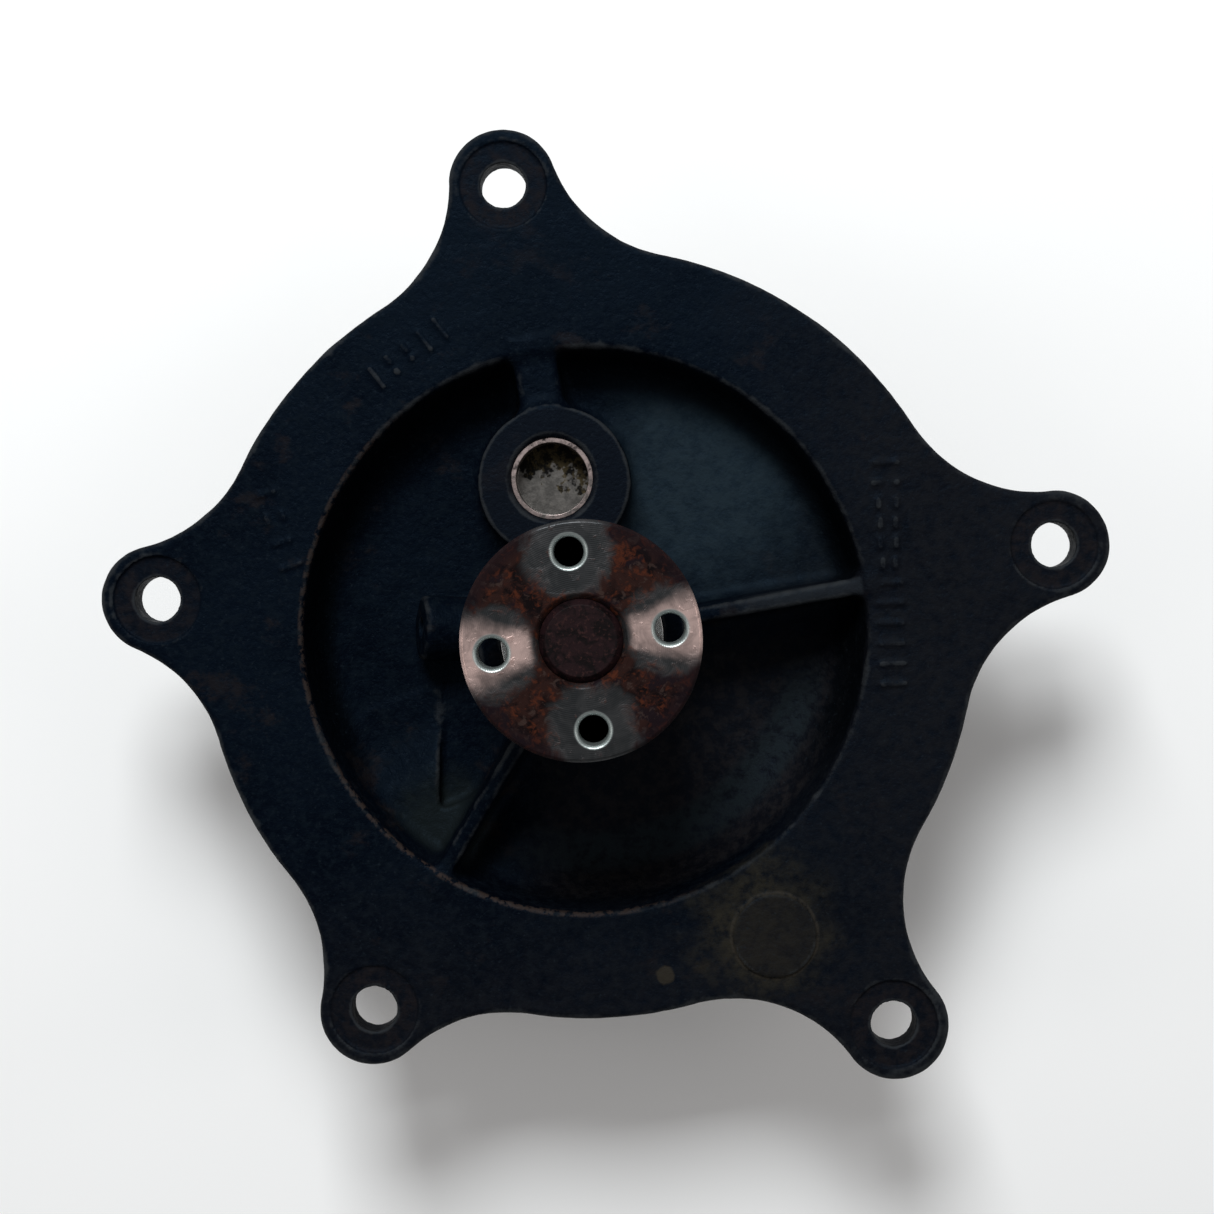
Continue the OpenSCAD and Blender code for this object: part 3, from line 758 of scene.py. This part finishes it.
def bowl_tones_and_painted_light(g, f, colour):
    """Tones on the bowl's floor, one for each sector, with painted light and shade: a lighter upper-right
    floor that is partly dust and partly painted light, lit fillets, a lit rib top and painted shade on the
    wall.
    """
    low = g.step(f.z, 1.0, -6.0)
    # lighter upper-right floor, brightest round (30, 38): partly dust, partly a painted pool of light
    upper_right = g.times(g.step(f.y, -2, 12), g.step(f.x, 0, 12))
    spread = g.step(g.plus(g.near(30, 38), f.middle, 24), 46, 24)
    floor_dust_and_light = g.times(low, upper_right, g.blend(spread, 0.22, 1.0))
    grey = g.mix(g.step(f.patch, 0.35, 0.62), (0.0085, 0.0150, 0.0215), (0.0130, 0.0215, 0.0285))
    colour = g.lay(colour, floor_dust_and_light, 0.9, grey)
    lower_right = g.times(low, g.step(f.y, 4, -10), g.step(f.x, -20, -2))
    brown = g.mix(g.step(f.patch, 0.4, 0.65), (0.0040, 0.0040, 0.0056), (0.0110, 0.0095, 0.0100))
    colour = g.lay(colour, lower_right, 0.8, brown)
    radius = g.near(*BOWL_C)
    # painted light: a lighter band on the bowl's lower-right fillet
    lit_lower_fillet = g.times(g.step(radius, 50, 54), g.step(radius, 63, 60), g.step(f.y, 0, -22))
    lit_lower_fillet = g.times(lit_lower_fillet, g.step(f.x, -24, 0), low)
    colour = g.lay(colour, lit_lower_fillet, g.step(f.patch, 0.3, 0.6), (0.0080, 0.0110, 0.0130))
    # painted shade: the bowl's wall is darkened everywhere but at the bottom
    wall = g.times(g.step(radius, 61, 65), g.step(radius, 69.5, 68.5), g.step(f.z, 7.5, 5.5))
    colour = g.lay(colour, g.times(wall, g.step(f.y, -42, -20)), 0.8, (0.0006, 0.0010, 0.0015))
    # painted highlight along the top of the right rib near the rim
    rib_turn = math.radians(RIGHT_RIB)
    across = g.plus(g.times(f.y, math.cos(rib_turn)), f.x, -math.sin(rib_turn))
    rib_top_highlight = g.times(g.step(g.math("ABSOLUTE", across), 2.6, 1.8), g.step(radius, BOWL_R, BOWL_R - 1.0))
    rib_top_highlight = g.times(rib_top_highlight, g.step(f.x, 34, 46), g.step(f.z, 5.0, 7.0))
    colour = g.lay(colour, rib_top_highlight, 0.8, (0.0120, 0.0140, 0.0170))
    # painted light: a lighter patch on the fillets in the lower-left corner of the bowl
    corner = g.step(g.plus(g.near(-35, -48), f.patch, 14), 24, 12)
    return g.lay(colour, g.times(low, corner), 0.8, (0.0085, 0.0115, 0.0115))


def bare_places(g, f, colour):
    """Browned bolt seats, the machined face round the plug, and worn rims with a painted glint, specks and
    edges.
    """
    seat = g.step(g.nearest(LUGS), SEAT_R + 0.2, SEAT_R - 0.5)
    seat = g.times(seat, g.step(f.z, FLANGE_T - 1.8, FLANGE_T - 1.2))
    worn = g.mix(g.step(f.patch, 0.35, 0.65), (0.0024, 0.0030, 0.0050), (0.0090, 0.0068, 0.0070))
    colour = g.lay(colour, seat, g.blend(g.step(f.middle, 0.35, 0.6), 0.35, 0.8), worn)
    face = g.step(g.near(*PLUG_BOSS_C), PLUG_BOSS_R, PLUG_BOSS_R - 1.0)
    face = g.times(face, g.step(f.z, Z_PLUG_FACE - 1.6, Z_PLUG_FACE - 0.4))
    colour = g.lay(colour, face, 0.6, (0.0034, 0.0038, 0.0058))
    # the bowl's rim on the left and at the bottom: worn paint, partly a painted glint on the edge
    rim_wear_and_glint = g.math("ABSOLUTE", g.math("SUBTRACT", g.near(*BOWL_C), BOWL_R + 0.3))
    left_and_below = g.step(g.plus(g.times(f.x, -1), f.y, -0.6), 0, 35)
    rim_wear_and_glint = g.times(g.step(rim_wear_and_glint, 1.0, 0.2), left_and_below, g.step(f.z, 6.5, 8.0))
    rim_wear_and_glint = g.times(rim_wear_and_glint, g.step(g.noise(0.5, 3, 0.6), 0.44, 0.56))
    colour = g.lay(colour, rim_wear_and_glint, 0.8, (0.0330, 0.0230, 0.0190))
    colour = g.lay(colour, g.step(f.grain, 0.62, 0.76), 0.32, (0.0120, 0.0170, 0.0220))
    edge = g.step(g.plus(g.attribute("edge"), f.patch, 0.30), 0.26, 0.42)
    return g.lay(colour, edge, 0.7, (0.0230, 0.0250, 0.0270))


def coolant_side(g, f, turned_face):
    """Bare iron: stained where it is cast, pale where it is machined."""
    cast = g.mix(g.step(f.patch, 0.35, 0.65), (0.050, 0.045, 0.042), (0.095, 0.085, 0.076))
    cast = g.lay(cast, g.step(f.middle, 0.42, 0.62), 0.8, (0.085, 0.036, 0.018))
    bright = g.mix(g.step(f.patch, 0.45, 0.7), (0.22, 0.215, 0.205), (0.13, 0.115, 0.10))
    return g.mix(turned_face, cast, bright)


def painted_casting():
    """Blue-black paint over a sand casting, with dust, bare seats and worn edges."""
    g = Graph("painted_casting")
    x, y, z = g.xyz()
    broad, middle = g.noise(0.03, 4, 0.6), g.noise(0.14, 4, 0.6)
    patch, grain = g.noise(0.35, 4, 0.65), g.noise(1.1, 2, 0.5)
    f = SimpleNamespace(x=x, y=y, z=z, broad=broad, middle=middle, patch=patch, grain=grain)
    colour = paint_coat(g, f)
    for layer in (disc_dust_and_highlight, bowl_tones_and_painted_light, bare_places):
        colour = layer(g, f, colour)
    outside_spigot = g.times(g.step(g.near(0, 0), 70.5, 71.5), g.step(z, 0.5, -0.1))
    behind = g.math("MAXIMUM", g.step(z, -15.5, -16.5), outside_spigot)
    turned_face = g.math("SUBTRACT", 1.0, g.step(g.attribute("cast"), 0.1, 0.5))
    colour = g.mix(behind, colour, coolant_side(g, f, turned_face))
    rough = g.blend(g.step(patch, 0.3, 0.7), 0.50, 0.70)
    normal = g.bump(g.noise(0.7, 3, 0.6), 0.30, 0.9)
    normal = g.bump(g.noise(2.2, 2, 0.5), 0.08, 0.7, normal)
    g.shader.inputs["Specular Tint"].default_value = (0.42, 0.68, 1.0, 1.0)
    return g.finish(colour, rough, normal, g.times(behind, turned_face, 0.8), 0.06)


HUB_TURN = math.radians(8.0)
HUB_HOLE_OUT = MOUNTS["hub_holes"]["dims"]["pcd_mm"] / 2
HUB_ANGLES = [HUB_TURN + k * math.pi / 2 for k in range(4)]
HUB_HOLES = [(HUB_HOLE_OUT * math.cos(a), HUB_HOLE_OUT * math.sin(a)) for a in HUB_ANGLES]


def hub_rust(g, broad, fine, tiny, radius):
    rust = g.mix(g.step(fine, 0.40, 0.58), (0.0030, 0.0012, 0.0016), (0.0185, 0.0070, 0.0056))
    rust = g.lay(rust, g.step(g.plus(tiny, broad, 0.7), 0.86, 1.02), 0.85, (0.0600, 0.0150, 0.0065))
    rust = g.mix(g.step(broad, 0.54, 0.64), rust, (0.0075, 0.0038, 0.0055))
    rust = g.lay(rust, g.step(tiny, 0.44, 0.34), 0.7, (0.0380, 0.0230, 0.0195))
    return g.lay(rust, g.step(radius, 22.5, 26.0), 0.7, (0.0060, 0.0028, 0.0045))


def rusty_hub():
    """Turned steel with clean pads round the tapped holes, brown rust between them and a painted highlight
    fanning across two pads.
    """
    g = Graph("rusty_hub")
    x, y, _ = g.xyz()
    broad = g.noise(0.16, 4, 0.65)
    fine = g.noise(0.20, 5, 0.62, distort=0.8)
    tiny = g.noise(0.50, 4, 0.60, distort=0.5)
    radius, holes = g.near(0, 0), g.nearest(HUB_HOLES)
    clean = g.step(g.plus(holes, g.centred(fine), 10), 12.0, 7.6)
    clean = g.times(clean, g.blend(g.step(tiny, 0.58, 0.72), 1.0, 0.55))
    steel_colour = g.mix(g.step(fine, 0.35, 0.7), (0.034, 0.036, 0.038), (0.058, 0.059, 0.061))
    # the two pads on one diameter carry a painted highlight, a bright fan from the shaft
    c, s = math.cos(HUB_TURN), math.sin(HUB_TURN)
    u = g.plus(g.times(x, c), y, s)
    v = g.plus(g.plus(g.times(y, c), x, -s), g.centred(broad), 5)
    slant = g.math("DIVIDE", g.math("ABSOLUTE", v), g.math("MAXIMUM", g.math("ABSOLUTE", u), 4))
    painted_highlight_fan = g.times(g.step(slant, 0.42, 0.10), g.step(radius, 10.5, 12.5))
    painted_shine = g.blend(g.step(fine, 0.3, 0.6), 0.55, 1.0)
    steel_colour = g.lay(steel_colour, painted_highlight_fan, painted_shine, (0.66, 0.48, 0.44))
    # bright chamfers round the tapped holes: bare steel, partly a painted highlight
    chamfer_steel_and_highlight = g.step(holes, 4.6, 4.0)
    steel_colour = g.mix(chamfer_steel_and_highlight, steel_colour, (0.42, 0.47, 0.46))
    clean = g.math("MAXIMUM", clean, g.times(painted_highlight_fan, g.step(tiny, 0.70, 0.55)))
    clean = g.math("MAXIMUM", clean, chamfer_steel_and_highlight)
    colour = g.mix(clean, hub_rust(g, broad, fine, tiny, radius), steel_colour)
    tool_lines = g.math("SINE", g.times(radius, 14.0))
    normal = g.bump(tool_lines, 0.015, 0.35)
    normal = g.bump(g.times(fine, g.math("SUBTRACT", 1.0, clean)), 0.25, 0.8, normal)
    return g.finish(colour, g.blend(clean, 0.75, 0.40), normal, g.blend(clean, 0.15, 0.92), 0.07)


def rusty_shaft():
    """Ground steel, rusted where it stands out of the hub."""
    g = Graph("rusty_shaft")
    fine = g.noise(0.32, 4, 0.65, distort=0.6)
    tiny = g.noise(0.9, 4, 0.65)
    rust = g.mix(g.step(fine, 0.40, 0.60), (0.0022, 0.0008, 0.0012), (0.0105, 0.0038, 0.0048))
    rust = g.mix(g.step(tiny, 0.55, 0.68), rust, (0.0260, 0.0100, 0.0095))
    out = g.step(g.xyz()[2], 46.0, 47.0)
    colour = g.mix(out, (0.42, 0.42, 0.41), rust)
    return g.finish(colour, g.blend(out, 0.28, 0.62), g.bump(tiny, 0.12, 0.7), g.blend(out, 1.0, 0.1), 0.1)


def steel(name, colour, rough, stain=(0.2, 0.16, 0.12), amount=0.3):
    g = Graph(name)
    fine, tiny = g.noise(0.8, 4, 0.6), g.noise(3.0, 2, 0.6)
    stained = g.lay(colour, g.step(fine, 0.45, 0.7), amount, stain)
    uneven = g.blend(g.step(tiny, 0.3, 0.7), rough * 0.8, min(rough * 1.25, 1))
    return g.finish(stained, uneven, g.bump(tiny, 0.02, 0.4), 1.0, 0.5)


def rubber(name, colour, rough=0.65):
    g = Graph(name)
    fine, tiny = g.noise(0.6, 4, 0.6), g.noise(3.0, 2, 0.6)
    pale = tuple(min(c * 2 + 0.01, 1) for c in colour)
    dusty = g.lay(colour, g.step(fine, 0.45, 0.75), 0.5, pale)
    uneven = g.blend(g.step(tiny, 0.3, 0.7), rough - 0.1, rough + 0.15)
    return g.finish(dusty, uneven, g.bump(tiny, 0.03, 0.5), 0.0, 0.4)


def plain(name, colour, shade, rough):
    """Ceramic, carbon and plastic: faint mottling and a fine surface."""
    g = Graph(name)
    fine, tiny = g.noise(0.9, 4, 0.6), g.noise(3.5, 2, 0.5)
    mottled = g.mix(g.step(fine, 0.35, 0.7), colour, shade)
    uneven = g.blend(g.step(tiny, 0.3, 0.7), rough * 0.85, rough * 1.1)
    return g.finish(mottled, uneven, g.bump(tiny, 0.015, 0.4))


def core_plug_metal():
    """Zinc-coated cup with dirt and painted shade over its upper part, and a bright lip."""
    g = Graph("core_plug_metal")
    fine, blot = g.noise(0.45, 4, 0.7), g.noise(0.28, 3, 0.6)
    metal = g.mix(g.step(fine, 0.35, 0.65), (0.10, 0.095, 0.09), (0.17, 0.16, 0.15))
    dirt_and_shade_colour = g.mix(g.step(fine, 0.45, 0.6), (0.0030, 0.0028, 0.0026), (0.0500, 0.0380, 0.0180))
    height = g.math("SUBTRACT", g.xyz()[1], PLUG_C[1])
    # dirt, with painted shade, over the upper part of the cup
    dirt_and_upper_shade = g.step(g.plus(blot, height, 0.03), 0.50, 0.58)
    colour = g.mix(dirt_and_upper_shade, metal, dirt_and_shade_colour)
    lip = g.step(g.near(*PLUG_C), PLUG_R - 1.3, PLUG_R - 1.0)
    colour = g.lay(colour, lip, g.step(fine, 0.3, 0.6), (0.30, 0.24, 0.23))
    metallic = g.blend(dirt_and_upper_shade, 0.95, 0.2)
    return g.finish(colour, g.blend(dirt_and_upper_shade, 0.38, 0.75), g.bump(fine, 0.12, 0.6), metallic, 0.15)


def cast_impeller():
    """Rusty cast iron with flecks of pale scale."""
    g = Graph("cast_impeller")
    broad, fine, tiny = g.noise(0.08, 4, 0.6), g.noise(0.6, 4, 0.65), g.noise(2.2, 3, 0.6)
    iron = g.mix(g.step(fine, 0.35, 0.65), (0.045, 0.040, 0.038), (0.085, 0.075, 0.068))
    rust = g.mix(g.step(tiny, 0.4, 0.7), (0.075, 0.030, 0.015), (0.150, 0.070, 0.035))
    colour = g.lay(iron, g.step(broad, 0.45, 0.6), 0.75, rust)
    scale = g.step(g.plus(broad, fine, 0.4), 0.80, 0.86)
    colour = g.lay(colour, scale, 0.5, (0.30, 0.29, 0.26))
    normal = g.bump(g.noise(1.0, 3, 0.6), 0.12, 0.6)
    return g.finish(colour, g.blend(fine, 0.55, 0.85), normal, 0.3, 0.4)


def soften(name, width, angle=35):
    """Joins a turned CAD piece's facets and breaks its edges by a small bevel."""
    o = NODES[name]
    weld = o.modifiers.new("weld", "WELD")
    weld.merge_threshold = 0.00001
    flat = o.modifiers.new("flat", "DECIMATE")
    flat.decimate_type = "DISSOLVE"
    flat.angle_limit = math.radians(0.5)
    bevel = o.modifiers.new("bevel", "BEVEL")
    bevel.width = width * MM
    bevel.segments = 2
    bevel.limit_method = "ANGLE"
    bevel.angle_limit = math.radians(angle)
    bevel.harden_normals = False
    for p in o.data.polygons:
        p.use_smooth = True
    weighted = o.modifiers.new("normals", "WEIGHTED_NORMAL")
    weighted.keep_sharp = True


# ---------------------------------------------------------------- the cast pieces
STEP = 0.6
IMPELLER_STEP = STEP * 1.15


def housing_skin(p):
    """How rough the skin is: 1 on the cast skin, more in the bowl, 0 on machined faces."""
    x, y, z = p.T
    r = np.hypot(x, y)
    amount = np.ones(len(p))
    for cx, cy in LUGS:
        amount[np.hypot(x - cx, y - cy) < SEAT_R + 0.3] = 0.15
    mounting_face = (z < 0.7) & (z > -1.0)
    spigot_wall = (r > SPIGOT_R - 3.5) & (z < 0.7) & (z > Z_UNDER + 1.2)
    bearing_seat = (r < RACE_R + 0.5) | (z > Z_BOSS_TOP - 0.8)
    plug = np.hypot(x - PLUG_C[0], y - PLUG_C[1]) < PLUG_R + 1.5
    plug_face = np.hypot(x - PLUG_BOSS_C[0], y - PLUG_BOSS_C[1]) < PLUG_BOSS_R
    plug_face &= z > Z_PLUG_FACE - 0.4
    amount[mounting_face | spigot_wall | bearing_seat | plug | plug_face] = 0.0
    in_bowl = (np.hypot(x - BOWL_C[0], y - BOWL_C[1]) < BOWL_R) & (z > Z_FLOOR - 1) & (r > RACE_R + 1)
    amount[in_bowl & (amount > 0.5)] = 1.6
    return amount


def impeller_skin(p):
    return np.full(len(p), 0.8)


cover = cast_piece("housing_casting", housing, housing_low, housing_high, STEP, housing_skin)
cover.data.materials.append(painted_casting())
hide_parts("pump_housing")
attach(cover, "housing")

rotor = cast_piece("impeller_casting", impeller, impeller_low, impeller_high, IMPELLER_STEP, impeller_skin)
rotor.data.materials.append(cast_impeller())
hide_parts("impeller")
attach(rotor, "rotor")

# ---------------------------------------------------------------- looks and bevels of the CAD nodes
CAGE_PLASTIC = ((0.50, 0.42, 0.26), (0.42, 0.34, 0.20), 0.45)
LIP_RUBBER = (0.060, 0.022, 0.014)
BLACK_RUBBER = (0.010, 0.010, 0.010)
BEARING_STEEL = (0.60, 0.60, 0.60)
SPRING_STEEL = (0.50, 0.50, 0.49)
LOOKS = {
    "pump_housing": cover.data.materials[0],
    "impeller": rotor.data.materials[0],
    "pulley_hub": rusty_hub(),
    "shaft": rusty_shaft(),
    "core_plug": core_plug_metal(),
    "flange_seal": rubber("ring_seal_rubber", (0.012, 0.012, 0.013)),
    "bearing_race": steel("race_steel", (0.46, 0.46, 0.46), 0.3),
    "bearing_balls": steel("ball_steel", BEARING_STEEL, 0.12, amount=0.1),
    "ball_cage": plain("ball_cage_plastic", *CAGE_PLASTIC),
    "bearing_rollers": steel("roller_steel", BEARING_STEEL, 0.15, amount=0.1),
    "roller_cage": plain("roller_cage_plastic", *CAGE_PLASTIC),
    "front_lip_seal": rubber("front_lip_rubber", LIP_RUBBER),
    "rear_lip_seal": rubber("rear_lip_rubber", LIP_RUBBER),
    "slinger": steel("slinger_steel", (0.42, 0.42, 0.42), 0.35),
    "seal_shell": steel("shell_brass", (0.60, 0.42, 0.16), 0.32, (0.25, 0.15, 0.07), 0.5),
    "seal_bellows": rubber("bellows_rubber", BLACK_RUBBER),
    "seal_spring": steel("spring_steel", SPRING_STEEL, 0.28),
    "spring_retainer": steel("retainer_steel", SPRING_STEEL, 0.32),
    "bellows_band": steel("band_steel", (0.50, 0.48, 0.44), 0.32),
    "carbon_ring": plain("carbon_face", (0.012, 0.012, 0.013), (0.022, 0.022, 0.024), 0.42),
    "seat_ring": plain("seat_ceramic", (0.72, 0.69, 0.60), (0.62, 0.58, 0.50), 0.30),
    "seat_boot": rubber("boot_rubber", BLACK_RUBBER),
}
for node, material in LOOKS.items():
    NODES[node].data.materials.clear()
    NODES[node].data.materials.append(material)

BEVELS = {"pulley_hub": 0.25, "shaft": 0.2, "core_plug": 0.2, "bearing_race": 0.15}
BEVELS |= {"seal_shell": 0.15, "seat_ring": 0.15, "carbon_ring": 0.15}
LEAST_BEVEL = 0.08
AS_PACKED = ("pump_housing", "impeller", "seal_spring")
for node in LOOKS:
    if node not in AS_PACKED:
        soften(node, BEVELS.get(node, LEAST_BEVEL))

# ---------------------------------------------------------------- floor, light and camera
FLOOR_GAP = 0.3
FLOOR_HALF = 1.6
z_floor = (impeller_low[2] - FLOOR_GAP) * MM
floor_mesh = bpy.data.meshes.new("floor")
floor_corners = [(a * FLOOR_HALF, b * FLOOR_HALF, z_floor) for a, b in ((-1, -1), (1, -1), (1, 1), (-1, 1))]
floor_mesh.from_pydata(floor_corners, [], [(0, 1, 2, 3)])
floor = add_object("floor", floor_mesh)
pale = Graph("pale_floor")
floor_colour = pale.mix(pale.noise(0.01, 2), (0.93, 0.93, 0.93), (0.95, 0.95, 0.95))
floor.data.materials.append(pale.finish(floor_colour, 0.9, specular=0.1))

WARM = (1.0, 0.95, 0.92)


def lamp(name, place, size, watts, colour, size_y=None):
    """A square or oblong lamp that faces the pump."""
    data = bpy.data.lights.new(name, "AREA")
    data.energy = watts
    data.color = colour
    data.size = size
    if size_y:
        data.shape = "RECTANGLE"
        data.size_y = size_y
    o = add_object(name, data)
    o.location = place
    o.rotation_euler = (-Vector(place)).to_track_quat("-Z", "Y").to_euler()


lamp("window", (-0.15, 0.86, 1.02), 0.48, 17.5, (0.96, 0.99, 1.0))
lamp("left", (-0.95, -0.13, 0.75), 0.35, 1.6, WARM, 0.9)
lamp("right", (0.95, 0.13, 0.75), 0.35, 1.6, WARM, 0.9)

world = bpy.data.worlds.new("soft")
bpy.context.scene.world = world
world.use_nodes = True
world.node_tree.nodes["Background"].inputs[0].default_value = (1, 1, 1, 1)
world.node_tree.nodes["Background"].inputs[1].default_value = 0.24

IMAGE = 1214
PX_PER_MM = 4.11
FOCAL_PX = 2094.5
FOOT_MM = (5.84, 18.15)
FOOT_UP_PX = 47.0
camera_data = bpy.data.cameras.new("camera")
camera_data.sensor_width = 36
camera_data.lens = 36 * FOCAL_PX / IMAGE
camera_data.shift_y = -FOOT_UP_PX / IMAGE
camera = bpy.data.objects.new("camera", camera_data)
camera.location = (FOOT_MM[0] * MM, FOOT_MM[1] * MM, (FLANGE_T + FOCAL_PX / PX_PER_MM) * MM)
bpy.context.scene.collection.objects.link(camera)
bpy.context.scene.camera = camera
bpy.context.scene.view_settings.view_transform = "Standard"
